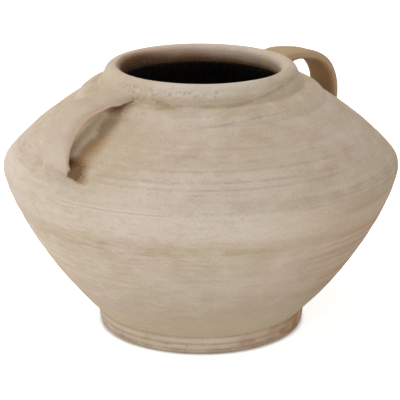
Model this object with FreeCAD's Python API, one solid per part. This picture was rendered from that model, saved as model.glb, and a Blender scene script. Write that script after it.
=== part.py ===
import FreeCAD, Part
import math
import os

# A two-handled clay pot: a keeled body of thick hand-thrown clay on a low foot
# ring, with a convex collar, a short neck, a thick rounded lip and two strap
# handles luted from the neck to the shoulder.
# Millimetres. +Z is up, the pot stands on z = 0 and its axis is the Z axis.
# The handles lie along the X axis: the left one towards -X, the right one
# towards +X.

# ---- body ----
POT_HEIGHT = 231.0
KEEL_RADIUS = 170.0          # widest line of the pot
KEEL_ROUNDING = 12.0         # radius of the rounded keel
SHOULDER_RISE = 58.2         # from the keel up to the crease of the collar
SHOULDER_REACH = 101.6       # from the throat out to the keel
BOWL_SWELL = 11.5            # degrees that the bowl stands steeper at the keel
SHOULDER_SWELL = 5.4         # the same for the shoulder
WALL = 9.0                   # clay thickness of bowl and shoulder

# ---- foot ----
FOOT_RADIUS = 91.0           # at the crease under the bowl
FOOT_HEIGHT = 17.5
FOOT_TAPER = 1.2             # how much narrower the foot is at its lower edge
FOOT_EDGE_ROUNDING = 5.5
FOOT_INNER_ROUNDING = 2.5
FLOOR_THICKNESS = 9.5        # clay disc that closes the bowl
FLOOR_RIM = 7.0              # clay of the foot ring outside the disc
FLOOR_LEDGE = 12.0           # how far the disc rests on the foot ring

# ---- collar, neck and lip ----
LIP_THICKNESS = 14.4
THROAT_DEPTH = 15.0          # from the top of the lip to where the inside flares
NECK_DEPTH = 16.5            # from the top of the lip to the crease of the neck
NECK_FLARE = 5.7             # how far the neck leans out below the lip
COLLAR_DEPTH = 11.3          # height of the collar, crease to crease
COLLAR_REACH = 18.3          # how far the collar stands out past the neck

# ---- handles ----
STRAP_WIDTH = 33.0
STRAP_THICKNESS = 10.0
STRAP_RISE = 2.0             # how far the strap swells before its crest
STRAP_BURIED = 12.0          # length of its lower end inside the shoulder

LEFT_ROOT_DROP = 13.5        # from the top of the lip to the middle of the strap
LEFT_FALL = 6.9              # degrees that the strap falls on its way to the crest
LEFT_INSET = 14.5            # from the keel's radius to the strap's outer run
LEFT_BEND_SHARE = 0.482      # part of the strap's reach that the bend takes
LEFT_LUTING_RISE = 5.0       # clay smeared up onto the lip above the strap

RIGHT_ROOT_DROP = 7.5
RIGHT_FALL = 1.5
RIGHT_INSET = 22.0
RIGHT_BEND_SHARE = 0.47
RIGHT_LUTING_RISE = 1.0

# ---- luting clay, smeared round each end of a handle ----
LUTING_EDGE = 0.8            # thickness of the smear where it runs out
LUTING_STATIONS = (0.0, 0.4, 1.0)
UPPER_LUTING_SIDE = 12.0     # spread to each side of the strap, at the neck
UPPER_LUTING_DROP = 8.0      # spread below the strap
UPPER_LUTING_LENGTH = 26.0   # along the strap, from the middle of the lip
LOWER_LUTING_SIDE = 12.0     # spread to each side of the strap, at the shoulder
LOWER_LUTING_SPREAD = 9.0    # spread up and down the shoulder
LOWER_LUTING_LENGTH = 18.0
LOWER_LUTING_DEPTH = 3.5     # how far its widest section lies under the surface

FLOOR_RADIUS = FOOT_RADIUS - FLOOR_RIM
HOLLOW_RADIUS = FLOOR_RADIUS - FLOOR_LEDGE
HOLLOW_HEIGHT = FOOT_HEIGHT - FLOOR_THICKNESS
THROAT_RADIUS = KEEL_RADIUS - SHOULDER_REACH
LIP_HALF = LIP_THICKNESS / 2.0
LIP_CENTRE_RADIUS = THROAT_RADIUS + LIP_HALF
LIP_CENTRE_HEIGHT = POT_HEIGHT - LIP_HALF
THROAT_HEIGHT = POT_HEIGHT - THROAT_DEPTH
NECK_RADIUS = THROAT_RADIUS + LIP_THICKNESS + NECK_FLARE
NECK_HEIGHT = POT_HEIGHT - NECK_DEPTH
COLLAR_RADIUS = NECK_RADIUS + COLLAR_REACH
COLLAR_HEIGHT = NECK_HEIGHT - COLLAR_DEPTH
KEEL_HEIGHT = COLLAR_HEIGHT - SHOULDER_RISE
BIG = 4.0 * KEEL_RADIUS


def point(radius, height):
    """A point of a profile, in the plane of the X and Z axes."""
    return FreeCAD.Vector(radius, 0.0, height)


def line(start, end):
    return Part.LineSegment(start, end).toShape()


def arc(start, middle, end):
    return Part.Arc(start, middle, end).toShape()


def bulged_arc(start, end, bulge):
    """An arc that swells to the right of the way from start to end."""
    along = end - start
    side = FreeCAD.Vector(along.z, 0.0, -along.x).normalize()
    middle = (start + end) * 0.5 + side * bulge
    return arc(start, middle, end)


def on_circle(centre, radius, angle):
    """The point of a circle at an angle in degrees above the X direction."""
    turn = math.radians(angle)
    return point(centre.x + radius * math.cos(turn), centre.z + radius * math.sin(turn))


def tangent_circle(start, inwards, end):
    """Centre and radius of the circle that touches at start and passes end."""
    along = end - start
    radius = along.dot(along) / (2.0 * along.dot(inwards))
    return start + inwards * radius, radius


def middle_of(centre, radius, start, end):
    """The point of a circle half way between two of its points."""
    outwards = (start + end) * 0.5 - centre
    return centre + outwards.normalize() * radius


def radius_at(centre, radius, height):
    """Where a circle crosses a height, on its outer side."""
    rise = height - centre.z
    return centre.x + math.sqrt(radius * radius - rise * rise)


def turned(edges):
    """The solid of a closed profile turned once round the pot's axis."""
    face = Part.Face(Part.Wire(edges))
    return face.revolve(FreeCAD.Vector(0, 0, 0), FreeCAD.Vector(0, 0, 1), 360.0)


def band(solid, low, high):
    """The part of a solid between two heights."""
    slab = Part.makeCylinder(BIG, high - low, FreeCAD.Vector(0, 0, low))
    return solid.common(slab)


def lean(run, rise):
    """How far a slope leans off upright, in degrees."""
    return math.degrees(math.atan2(run, rise))


# ---- the circles of the body, outside and inside ----
bowl_lean = lean(KEEL_RADIUS - FOOT_RADIUS, KEEL_HEIGHT - FOOT_HEIGHT) - BOWL_SWELL
shoulder_lean = (
    lean(KEEL_RADIUS - COLLAR_RADIUS, SHOULDER_RISE) - SHOULDER_SWELL
)
keel_centre = point(KEEL_RADIUS - KEEL_ROUNDING, KEEL_HEIGHT)
keel_low = on_circle(keel_centre, KEEL_ROUNDING, -bowl_lean)
keel_high = on_circle(keel_centre, KEEL_ROUNDING, shoulder_lean)
keel_side = on_circle(keel_centre, KEEL_ROUNDING, 0.0)
foot_crease = point(FOOT_RADIUS, FOOT_HEIGHT)
collar_crease = point(COLLAR_RADIUS, COLLAR_HEIGHT)
neck_crease = point(NECK_RADIUS, NECK_HEIGHT)

low_inwards = (keel_centre - keel_low).normalize()
bowl_centre, bowl_radius = tangent_circle(keel_low, low_inwards, foot_crease)
high_inwards = (keel_centre - keel_high).normalize()
shoulder_centre, shoulder_radius = tangent_circle(keel_high, high_inwards, collar_crease)

inner_keel = KEEL_ROUNDING - WALL
inner_low = on_circle(keel_centre, inner_keel, -bowl_lean)
inner_side = on_circle(keel_centre, inner_keel, 0.0)
inner_high = on_circle(keel_centre, inner_keel, shoulder_lean)
inner_bowl = bowl_radius - WALL
inner_shoulder = shoulder_radius - WALL
down = FreeCAD.Vector(0, 0, -1)
collar_centre, collar_radius = tangent_circle(neck_crease, down, collar_crease)
floor_edge = point(radius_at(bowl_centre, inner_bowl, FOOT_HEIGHT), FOOT_HEIGHT)
collar_inside = point(radius_at(shoulder_centre, inner_shoulder, COLLAR_HEIGHT), COLLAR_HEIGHT)


def make_envelope():
    """The outside of the pot as one filled solid, up to the top of the lip."""
    foot_low_radius = FOOT_RADIUS - FOOT_TAPER
    foot_wall_low = point(foot_low_radius, FOOT_EDGE_ROUNDING)
    foot_corner = point(foot_low_radius - FOOT_EDGE_ROUNDING, FOOT_EDGE_ROUNDING)
    foot_middle = on_circle(foot_corner, FOOT_EDGE_ROUNDING, -45.0)
    foot_flat = point(foot_corner.x, 0.0)
    lip_centre = point(LIP_CENTRE_RADIUS, LIP_CENTRE_HEIGHT)
    lip_side = on_circle(lip_centre, LIP_HALF, 0.0)
    lip_middle = on_circle(lip_centre, LIP_HALF, 45.0)
    lip_top = point(LIP_CENTRE_RADIUS, POT_HEIGHT)
    edges = [
        line(point(0, 0), foot_flat),
        arc(foot_flat, foot_middle, foot_wall_low),
        line(foot_wall_low, foot_crease),
        arc(foot_crease, middle_of(bowl_centre, bowl_radius, foot_crease, keel_low), keel_low),
        arc(keel_low, keel_side, keel_high),
        arc(
            keel_high,
            middle_of(shoulder_centre, shoulder_radius, keel_high, collar_crease),
            collar_crease,
        ),
        arc(
            collar_crease,
            middle_of(collar_centre, collar_radius, collar_crease, neck_crease),
            neck_crease,
        ),
        line(neck_crease, lip_side),
        arc(lip_side, lip_middle, lip_top),
        line(lip_top, point(0, POT_HEIGHT)),
        line(point(0, POT_HEIGHT), point(0, 0)),
    ]
    return turned(edges)


def make_cavity():
    """The hollow of the pot, from its floor to the inner side of the lip."""
    lip_centre = point(LIP_CENTRE_RADIUS, LIP_CENTRE_HEIGHT)
    lip_top = point(LIP_CENTRE_RADIUS, POT_HEIGHT)
    lip_inner = on_circle(lip_centre, LIP_HALF, 180.0)
    lip_middle = on_circle(lip_centre, LIP_HALF, 135.0)
    throat_low = point(THROAT_RADIUS, THROAT_HEIGHT)
    above = POT_HEIGHT + LIP_HALF
    edges = [
        line(point(0, FOOT_HEIGHT), floor_edge),
        arc(floor_edge, middle_of(bowl_centre, inner_bowl, floor_edge, inner_low), inner_low),
        arc(inner_low, inner_side, inner_high),
        arc(
            inner_high,
            middle_of(shoulder_centre, inner_shoulder, inner_high, collar_inside),
            collar_inside,
        ),
        line(collar_inside, throat_low),
        line(throat_low, lip_inner),
        arc(lip_inner, lip_middle, lip_top),
        line(lip_top, point(LIP_CENTRE_RADIUS, above)),
        line(point(LIP_CENTRE_RADIUS, above), point(0, above)),
        line(point(0, above), point(0, FOOT_HEIGHT)),
    ]
    return turned(edges)


def make_foot_hollow():
    """The hollow under the foot, with the rounded inner edge of the ring."""
    edge = FOOT_INNER_ROUNDING
    corner = point(HOLLOW_RADIUS + edge, edge)
    low = point(corner.x, 0.0)
    high = point(HOLLOW_RADIUS, edge)
    edges = [
        line(point(0, -edge), point(corner.x, -edge)),
        line(point(corner.x, -edge), low),
        arc(low, on_circle(corner, edge, 225.0), high),
        line(high, point(HOLLOW_RADIUS, HOLLOW_HEIGHT)),
        line(point(HOLLOW_RADIUS, HOLLOW_HEIGHT), point(0, HOLLOW_HEIGHT)),
        line(point(0, HOLLOW_HEIGHT), point(0, -edge)),
    ]
    return turned(edges)


# ---- the strap handles ----
def landing_under(radius):
    """Where an upright line at a radius meets the shoulder."""
    run = radius - shoulder_centre.x
    return point(radius, shoulder_centre.z + math.sqrt(shoulder_radius ** 2 - run ** 2))


def strap_path(root_drop, fall, inset, bend_share):
    """Centre line of a strap: out from the neck, over a bend and down."""
    outer = KEEL_RADIUS - inset
    reach = outer - LIP_CENTRE_RADIUS
    bend = bend_share * reach
    root = point(LIP_CENTRE_RADIUS, POT_HEIGHT - root_drop)
    crest_height = root.z - (reach - bend) * math.tan(math.radians(fall))
    crest = point(outer - bend, crest_height)
    bend_centre = crest + down * bend
    bend_end = on_circle(bend_centre, bend, 0.0)
    tail = landing_under(outer) + down * STRAP_BURIED
    return Part.Wire([
        bulged_arc(root, crest, -STRAP_RISE),
        arc(crest, on_circle(bend_centre, bend, 45.0), bend_end),
        line(bend_end, tail),
    ])


def section(centre, along, width, thickness):
    """A flat oval across the strap, square to the direction along."""
    across = FreeCAD.Vector(0, 1, 0)
    up = across.cross(along).normalize()
    half = thickness / 2.0
    flat = width / 2.0 - half
    right_top = centre + across * flat + up * half
    right_low = centre + across * flat - up * half
    left_top = centre - across * flat + up * half
    left_low = centre - across * flat - up * half
    return Part.Wire([
        line(left_top, right_top),
        arc(right_top, centre + across * (width / 2.0), right_low),
        line(right_low, left_low),
        arc(left_low, centre - across * (width / 2.0), left_top),
    ])


def strap(path):
    """The strap before its ends are cut to the pot."""
    first = path.Edges[0]
    start = first.Vertexes[0].Point
    along = first.tangentAt(first.FirstParameter)
    profile = section(start, along, STRAP_WIDTH, STRAP_THICKNESS)
    return path.makePipeShell([profile], True, False)


def upper_luting(path, rise):
    """The smear of clay that ties the strap to the neck and collar."""
    edge = path.Edges[0]
    wires = []
    for share in LUTING_STATIONS:
        at = edge.getParameterByLength(share * UPPER_LUTING_LENGTH)
        fade = (1.0 - share) ** 2
        side = LUTING_EDGE + UPPER_LUTING_SIDE * fade
        above = LUTING_EDGE + rise * fade
        below = LUTING_EDGE + UPPER_LUTING_DROP * fade
        centre = edge.valueAt(at) + FreeCAD.Vector(0, 0, (above - below) / 2.0)
        height = STRAP_THICKNESS + above + below
        wires.append(section(centre, edge.tangentAt(at), STRAP_WIDTH + 2.0 * side, height))
    return Part.makeLoft(wires, True, False)


def lower_luting(landing):
    """The smear of clay that ties the strap to the shoulder."""
    outwards = (landing - shoulder_centre).normalize()
    up = down * -1.0
    wires = []
    for share in LUTING_STATIONS:
        fade = (1.0 - share) ** 2
        along = (outwards * (1.0 - share) + up * share).normalize()
        sunk = outwards * (LOWER_LUTING_DEPTH * (1.0 - share))
        centre = landing - sunk + up * (share * LOWER_LUTING_LENGTH)
        width = STRAP_WIDTH + 2.0 * (LUTING_EDGE + LOWER_LUTING_SIDE * fade)
        footprint = STRAP_THICKNESS / along.z
        thickness = footprint + 2.0 * (LUTING_EDGE + LOWER_LUTING_SPREAD * fade)
        wires.append(section(centre, along, width, thickness))
    return Part.makeLoft(wires, True, False)


def mirrored(solid):
    """The same solid on the other side of the pot, towards -X."""
    return solid.mirror(FreeCAD.Vector(0, 0, 0), FreeCAD.Vector(1, 0, 0))


def handle(pot, root_drop, fall, inset, bend_share, rise):
    """A strap and its two smears of clay, all cut to the outside of the pot."""
    path = strap_path(root_drop, fall, inset, bend_share)
    whole = strap(path)
    landing = landing_under(KEEL_RADIUS - inset)
    upper = upper_luting(path, rise).cut(pot).cut(whole)
    lower = lower_luting(landing).cut(pot).cut(whole)
    return whole.cut(pot), upper, lower


def largest(shape):
    """The main solid of a cut, as one clean solid."""
    solids = sorted(shape.Solids, key=lambda solid: solid.Volume)
    return solids[-1]


os.makedirs("parts", exist_ok=True)

envelope = make_envelope()
shell = envelope.cut(make_cavity())

floor_base = FreeCAD.Vector(0, 0, HOLLOW_HEIGHT)
floor = Part.makeCylinder(FLOOR_RADIUS, FLOOR_THICKNESS, floor_base)
foot = band(envelope, 0.0, FOOT_HEIGHT).cut(floor).cut(make_foot_hollow())

nodes = {
    "foot_ring": foot,
    "floor_disc": floor,
    "lower_bowl": band(shell, FOOT_HEIGHT, KEEL_HEIGHT),
    "upper_shoulder": band(shell, KEEL_HEIGHT, COLLAR_HEIGHT),
    "neck_collar": band(shell, COLLAR_HEIGHT, NECK_HEIGHT),
    "neck_and_lip": band(shell, NECK_HEIGHT, POT_HEIGHT),
}

right = handle(
    envelope,
    RIGHT_ROOT_DROP,
    RIGHT_FALL,
    RIGHT_INSET,
    RIGHT_BEND_SHARE,
    RIGHT_LUTING_RISE,
)
left = handle(
    envelope,
    LEFT_ROOT_DROP,
    LEFT_FALL,
    LEFT_INSET,
    LEFT_BEND_SHARE,
    LEFT_LUTING_RISE,
)
nodes["right_handle"] = right[0]
nodes["right_upper_luting"] = right[1]
nodes["right_lower_luting"] = right[2]
nodes["left_handle"] = mirrored(left[0])
nodes["left_upper_luting"] = mirrored(left[1])
nodes["left_lower_luting"] = mirrored(left[2])

for name, shape in nodes.items():
    solid = largest(shape)
    solid.exportStep("parts/" + name + ".step")
    box = solid.BoundBox
    print(name, "solids", len(shape.Solids), "valid", solid.isValid(),
          "volume", round(solid.Volume),
          "x", round(box.XMin, 2), round(box.XMax, 2),
          "z", round(box.ZMin, 2), round(box.ZMax, 2))
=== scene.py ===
import math

import bpy
import numpy as np
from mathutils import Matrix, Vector


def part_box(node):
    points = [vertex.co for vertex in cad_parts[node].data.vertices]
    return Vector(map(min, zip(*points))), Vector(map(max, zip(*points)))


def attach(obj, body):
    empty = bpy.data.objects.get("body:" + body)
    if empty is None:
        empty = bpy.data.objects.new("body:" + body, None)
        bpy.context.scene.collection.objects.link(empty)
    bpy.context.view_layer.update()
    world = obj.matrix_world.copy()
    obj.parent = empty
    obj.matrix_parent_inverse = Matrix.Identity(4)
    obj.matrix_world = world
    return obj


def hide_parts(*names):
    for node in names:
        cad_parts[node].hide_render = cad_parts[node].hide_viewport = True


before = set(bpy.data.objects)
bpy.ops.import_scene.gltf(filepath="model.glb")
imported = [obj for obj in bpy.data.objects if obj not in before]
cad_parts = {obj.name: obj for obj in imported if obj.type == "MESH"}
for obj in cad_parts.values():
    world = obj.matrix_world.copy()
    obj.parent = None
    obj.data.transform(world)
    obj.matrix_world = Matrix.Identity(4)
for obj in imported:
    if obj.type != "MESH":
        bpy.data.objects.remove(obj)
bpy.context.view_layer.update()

# A two-handled pot of hand-thrown clay: a keeled body on a low foot ring, a
# convex collar, a short neck, a thick rounded lip and two strap handles.
# Metres. The pot stands on z = 0 and its axis is the Z axis.


def corner(node):
    """The highest corner of a CAD node."""
    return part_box(node)[1]


# ---- sizes of the pot ----
FOOT_RADIUS, _, FOOT_HEIGHT = corner("foot_ring")
KEEL_RADIUS, _, KEEL_HEIGHT = corner("lower_bowl")
COLLAR_HEIGHT = corner("upper_shoulder")[2]
COLLAR_RADIUS, _, NECK_HEIGHT = corner("neck_collar")
NECK_RADIUS, _, POT_HEIGHT = corner("neck_and_lip")
FLOOR_RADIUS = corner("floor_disc")[0]
FLOOR_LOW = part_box("floor_disc")[0][2]

KEEL_ROUNDING = 0.012
WALL = 0.009
BOWL_LEAN = math.radians(20.3)
SHOULDER_LEAN = math.radians(42.0)
LIP_HALF = 0.0072
THROAT_RADIUS = 0.0684
THROAT_HEIGHT = POT_HEIGHT - 0.015
LIP_CENTRE_RADIUS = THROAT_RADIUS + LIP_HALF
LIP_CENTRE_HEIGHT = POT_HEIGHT - LIP_HALF
FOOT_TAPER = 0.0012
FOOT_EDGE = 0.0055
HOLLOW_RADIUS = 0.072
HOLLOW_EDGE = 0.0025

# ---- the potter's hand ----
STEP = 0.00025  # spacing of the worked-out lines
SOFTNESS = 0.0007  # how softly wet clay rounds a crease
ARC_POINTS = 64
RUN_POINTS = 40  # on the nearly straight part of a strap
SAME_PLACE = 1e-9  # points this near to each other on a line are one
SEAM = 2e-7  # and this near on a mesh that is sewn
TOUCHING = 1e-5  # and this near where two pieces meet
STEPS_TO_THE_METRE = 1e5
SEGMENTS = 360  # round the pot
FOOT_SPACING = 0.0005  # between the rows of each part of the outline
OUTER_SPACING = 0.0015
COLLAR_SPACING = 0.0012
INNER_SPACING = 0.0032
RING_WANDER = 3.0  # lumps to the metre along a throwing ring
SWELL_START = 0.08  # height over which the bowl comes to its fullness
SWELL_END = 0.025  # and over which it loses it below the keel
KEEL_BAND = 0.014  # half height of the keel's evener band
LOBES = 3.0  # how many times the pot's roundness sways
LOBE_TURN = math.radians(120.0)
RIM_LOW_TURN = math.radians(5.0)
FOOT_RINGS = (  # height, depth and half width of each
    (0.0163, 0.0003, 0.0009),
    (0.0100, 0.0002, 0.0009),
    (0.0046, 0.0004, 0.0008),
)
JOINTS = (FLOOR_LOW, FOOT_HEIGHT, KEEL_HEIGHT, COLLAR_HEIGHT, NECK_HEIGHT)


# ---- node graphs ----
def maths(operation, swapped=False):
    """A method that adds one node, which works on the wire and what it is given."""

    def method(self, *others):
        values = (self, *others)
        return self.math(operation, *(values[::-1] if swapped else values))

    return method


class Wire:
    """A number socket. Sums with it add Math nodes."""

    kind = "ShaderNodeMath"

    def __init__(self, graph, socket):
        self.graph = graph
        self.socket = socket

    def math(self, operation, *values):
        return self.graph.add(self.kind, dict(enumerate(values)), operation=operation)

    __add__ = __radd__ = maths("ADD")
    __sub__ = maths("SUBTRACT")
    __rsub__ = maths("SUBTRACT", swapped=True)
    __mul__ = __rmul__ = maths("MULTIPLY")
    __truediv__ = maths("DIVIDE")
    __rtruediv__ = maths("DIVIDE", swapped=True)
    __pow__ = maths("POWER")
    __mod__ = maths("MODULO")
    __gt__ = maths("GREATER_THAN")
    __lt__ = maths("LESS_THAN")
    __abs__ = maths("ABSOLUTE")


class Arrow(Wire):
    """A vector socket. Sums with it add Vector Math nodes."""

    kind = "ShaderNodeVectorMath"

    def __mul__(self, other):
        if isinstance(other, (Arrow, tuple)):
            return self.math("MULTIPLY", self, other)
        values = {0: self, "Scale": other}
        return self.graph.add(self.kind, values, operation="SCALE")

    __rmul__ = __mul__

    def parts(self):
        """Its three numbers."""
        split = self.graph.add("ShaderNodeSeparateXYZ", {0: self})
        outputs = split.socket.node.outputs
        return [Wire(self.graph, outputs[k]) for k in range(3)]

    def length(self):
        return self.graph.add(self.kind, {0: self}, "Value", operation="LENGTH")

    def dot(self, other):
        values = {0: self, 1: other}
        return self.graph.add(self.kind, values, "Value", operation="DOT_PRODUCT")

    unit = maths("NORMALIZE")


class Graph:
    """Adds nodes to one node tree."""

    def __init__(self, tree):
        self.tree = tree

    def add(self, kind, values, output=0, **settings):
        """A node of a kind, its settings set first, then its sockets."""
        node = self.tree.nodes.new(kind)
        for name, value in settings.items():
            setattr(node, name, value)
        for name, value in values.items():
            self.feed(node.inputs[name], value)
        socket = node.outputs[output]
        return (Arrow if socket.type == "VECTOR" else Wire)(self, socket)

    def feed(self, socket, value):
        """Links a wire to a socket, or sets the socket's own value."""
        if isinstance(value, Wire):
            self.tree.links.new(value.socket, socket)
        else:
            socket.default_value = value

    def vector(self, x, y, z):
        return self.add("ShaderNodeCombineXYZ", {0: x, 1: y, 2: z})

    def noise(self, where, stretch, detail=2.0, seed=0.0):
        """Noise from 0 to 1, with so many lumps to the metre along X, Y, Z."""
        values = {"Vector": where * stretch, "W": seed, "Scale": 1.0, "Detail": detail}
        return self.add("ShaderNodeTexNoise", values, noise_dimensions="4D")

    def rise(self, value, low, high):
        """0 below low, 1 above high and a smooth rise between them."""
        values = {0: value, 1: low, 2: high, 3: 0.0, 4: 1.0}
        return self.add("ShaderNodeMapRange", values, interpolation_type="SMOOTHSTEP")

    def bell(self, value, centre, reach):
        """1 at the centre, falling smoothly to 0 at the reach."""
        return self.rise(reach - abs(value - centre), 0.0, reach)

    def store(self, geometry, name, kind, value):
        """The geometry, with a value kept at each of its points."""
        values = {"Geometry": geometry, "Name": name, "Value": value}
        return self.add("GeometryNodeStoreNamedAttribute", values, data_type=kind)

    def limit(self, value):
        return self.add("ShaderNodeClamp", {0: value})

    def blend(self, share, first, second):
        """From the first colour to the second."""
        values = {0: share, 6: first, 7: second}
        return self.add("ShaderNodeMix", values, 2, data_type="RGBA")


def new_tree(name, inputs):
    """A geometry tree with its inputs named by kind, and the wires that they give."""
    tree = bpy.data.node_groups.new(name, "GeometryNodeTree")
    sockets = tree.interface
    sockets.new_socket("Geometry", in_out="OUTPUT", socket_type="NodeSocketGeometry")
    sockets.new_socket("Geometry", in_out="INPUT", socket_type="NodeSocketGeometry")
    for kind, labels in inputs.items():
        for label in labels:
            sockets.new_socket(label, in_out="INPUT", socket_type="NodeSocket" + kind)
    graph = Graph(tree)
    group = tree.nodes.new("NodeGroupInput")
    wires = {}
    for socket in group.outputs[:-1]:
        family = Arrow if socket.type == "VECTOR" else Wire
        wires[socket.name] = family(graph, socket)
    return graph, wires


def finished(graph, geometry, material):
    """The graph with the last nodes of every geometry tree."""
    real = graph.add("GeometryNodeRealizeInstances", {"Geometry": geometry})
    values = {"Geometry": real, "Material": material}
    coated = graph.add("GeometryNodeSetMaterial", values)
    group = graph.tree.nodes.new("NodeGroupOutput")
    graph.tree.links.new(coated.socket, group.inputs[0])
    return graph


def grid_of(graph, columns, rows):
    """A grid of points, and the column and row number of each."""
    values = {"Vertices X": columns, "Vertices Y": rows}
    grid = graph.add("GeometryNodeMeshGrid", values)
    index = graph.add("GeometryNodeInputIndex", {})
    column = index.math("FLOOR", (index + 0.5) / rows)
    row = index - column * rows
    return grid, column, row


def sewn(graph, grid, position):
    """The grid moved into place, with its edges joined and shaded smooth."""
    values = {"Geometry": grid, "Position": position}
    moved = graph.add("GeometryNodeSetPosition", values)
    values = {"Geometry": moved, "Distance": SEAM}
    merged = graph.add("GeometryNodeMergeByDistance", values)
    return graph.add("GeometryNodeSetShadeSmooth", {"Geometry": merged})


def dented(graph, wire, where, seed):
    """Noise whose lumps have the tree's dent size."""
    lumps = 1.0 / wire["Dent Size"]
    return graph.noise(where, graph.vector(lumps, lumps, lumps), 1.0, seed)


def placed(name, data):
    """A new object of the scene."""
    piece = bpy.data.objects.new(name, data)
    bpy.context.scene.collection.objects.link(piece)
    return piece


def made(name, first_mesh, graph, values):
    """A plain object: what a geometry tree makes of a first mesh."""
    piece = placed(name, first_mesh)
    modifier = piece.modifiers.new("make", "NODES")
    modifier.node_group = graph.tree
    for item in graph.tree.interface.items_tree:
        if item.in_out == "INPUT" and item.name in values:
            modifier[item.identifier] = values[item.name]
    depsgraph = bpy.context.evaluated_depsgraph_get()
    mesh = bpy.data.meshes.new_from_object(piece.evaluated_get(depsgraph))
    piece.modifiers.remove(modifier)
    piece.data = mesh
    mesh.name = name
    return piece


# ---- the line of the clay, from under the foot over the lip to the floor ----
def spot(radius, height):
    return np.array([radius, height])


def on_circle(centre, radius, turn):
    return centre + radius * spot(math.cos(turn), math.sin(turn))


def tangent_centre(start, inwards, end):
    """Centre of the circle that touches at start and passes through end."""
    along = end - start
    return start + inwards * (along.dot(along) / (2.0 * along.dot(inwards)))


def arc(centre, start, end):
    """Points on the shorter arc round a centre."""
    first = math.atan2(*(start - centre)[::-1])
    last = math.atan2(*(end - centre)[::-1])
    if abs(last - first) > math.pi:
        last += math.copysign(2.0 * math.pi, first - last)
    radius = np.linalg.norm(start - centre)
    turns = np.linspace(first, last, ARC_POINTS)
    return centre + radius * np.stack([np.cos(turns), np.sin(turns)], axis=1)


def tooled(points):
    """The line with the shallow rings that a rib leaves in the foot."""
    cut = sum(
        depth * np.exp(-(((points[:, 1] - height) / half) ** 2))
        for height, depth, half in FOOT_RINGS
    )
    outer = points[:, 0] > HOLLOW_RADIUS + 2 * HOLLOW_EDGE
    return points - np.stack([cut * outer, np.zeros(len(points))], axis=1)


def evenly(points):
    """The same line with its points STEP apart."""
    hops = np.linalg.norm(np.diff(points, axis=0), axis=1)
    apart = hops > SAME_PLACE
    points = points[np.concatenate([[True], apart])]
    run = np.concatenate([[0.0], np.cumsum(hops[apart])])
    places = np.linspace(0.0, run[-1], round(run[-1] / STEP) + 1)
    return np.stack([np.interp(places, run, points[:, k]) for k in (0, 1)], axis=1)


def softened(points, width):
    """The same line with its corners rounded and its two ends kept."""
    reach = round(4 * width / STEP)
    steps = np.arange(-reach, reach + 1) * STEP
    weights = np.exp(-0.5 * (steps / width) ** 2)
    weights /= weights.sum()
    before = 2 * points[0] - points[reach:0:-1]
    after = 2 * points[-1] - points[-2:-reach - 2:-1]
    longer = np.concatenate([before, points, after])
    soft = [np.convolve(longer[:, k], weights, "valid") for k in (0, 1)]
    return np.stack(soft, axis=1)


lip_centre = spot(LIP_CENTRE_RADIUS, LIP_CENTRE_HEIGHT)
keel_centre = spot(KEEL_RADIUS - KEEL_ROUNDING, KEEL_HEIGHT)
keel_low = on_circle(keel_centre, KEEL_ROUNDING, -BOWL_LEAN)
keel_high = on_circle(keel_centre, KEEL_ROUNDING, SHOULDER_LEAN)
foot_crease = spot(FOOT_RADIUS, FOOT_HEIGHT)
collar_crease = spot(COLLAR_RADIUS, COLLAR_HEIGHT)
neck_crease = spot(NECK_RADIUS, NECK_HEIGHT)
low_inwards = (keel_centre - keel_low) / KEEL_ROUNDING
high_inwards = (keel_centre - keel_high) / KEEL_ROUNDING
bowl_centre = tangent_centre(keel_low, low_inwards, foot_crease)
shoulder_centre = tangent_centre(keel_high, high_inwards, collar_crease)
collar_centre = tangent_centre(neck_crease, spot(0.0, -1.0), collar_crease)
shoulder_radius = np.linalg.norm(collar_crease - shoulder_centre)


def outside_line():
    """From the foot's inner ledge to the top of the lip."""
    foot_low = FOOT_RADIUS - FOOT_TAPER
    foot_corner = spot(foot_low - FOOT_EDGE, FOOT_EDGE)
    hollow_corner = spot(HOLLOW_RADIUS + HOLLOW_EDGE, HOLLOW_EDGE)
    return np.concatenate([
        [spot(HOLLOW_RADIUS, FLOOR_LOW)],
        arc(hollow_corner, spot(HOLLOW_RADIUS, HOLLOW_EDGE), spot(hollow_corner[0], 0.0)),
        arc(foot_corner, spot(foot_corner[0], 0.0), spot(foot_low, FOOT_EDGE)),
        arc(bowl_centre, foot_crease, keel_low),
        arc(keel_centre, keel_low, keel_high),
        arc(shoulder_centre, keel_high, collar_crease),
        arc(collar_centre, collar_crease, neck_crease),
        arc(lip_centre, lip_centre + spot(LIP_HALF, 0.0), lip_centre + spot(0.0, LIP_HALF)),
    ])


def inside_line():
    """From the top of the lip down the inside to the floor."""
    inner_low = on_circle(keel_centre, KEEL_ROUNDING - WALL, -BOWL_LEAN)
    inner_high = on_circle(keel_centre, KEEL_ROUNDING - WALL, SHOULDER_LEAN)
    inner_shoulder = shoulder_radius - WALL
    inner_bowl = np.linalg.norm(inner_low - bowl_centre)
    collar_turn = math.asin((COLLAR_HEIGHT - shoulder_centre[1]) / inner_shoulder)
    floor_turn = math.asin((FOOT_HEIGHT - bowl_centre[1]) / inner_bowl)
    collar_inside = on_circle(shoulder_centre, inner_shoulder, collar_turn)
    floor_edge = on_circle(bowl_centre, inner_bowl, floor_turn)
    return np.concatenate([
        arc(lip_centre, lip_centre + spot(0.0, LIP_HALF), lip_centre - spot(LIP_HALF, 0.0)),
        [spot(THROAT_RADIUS, THROAT_HEIGHT)],
        arc(shoulder_centre, collar_inside, inner_high),
        arc(keel_centre, inner_high, inner_low),
        arc(bowl_centre, inner_low, floor_edge),
    ])


outside = tooled(evenly(outside_line()))
whole_line = np.concatenate([outside, evenly(inside_line())[1:]])
clay_line = softened(whole_line, SOFTNESS)
CREST = len(outside) - 1
END = len(clay_line) - 1


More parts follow.
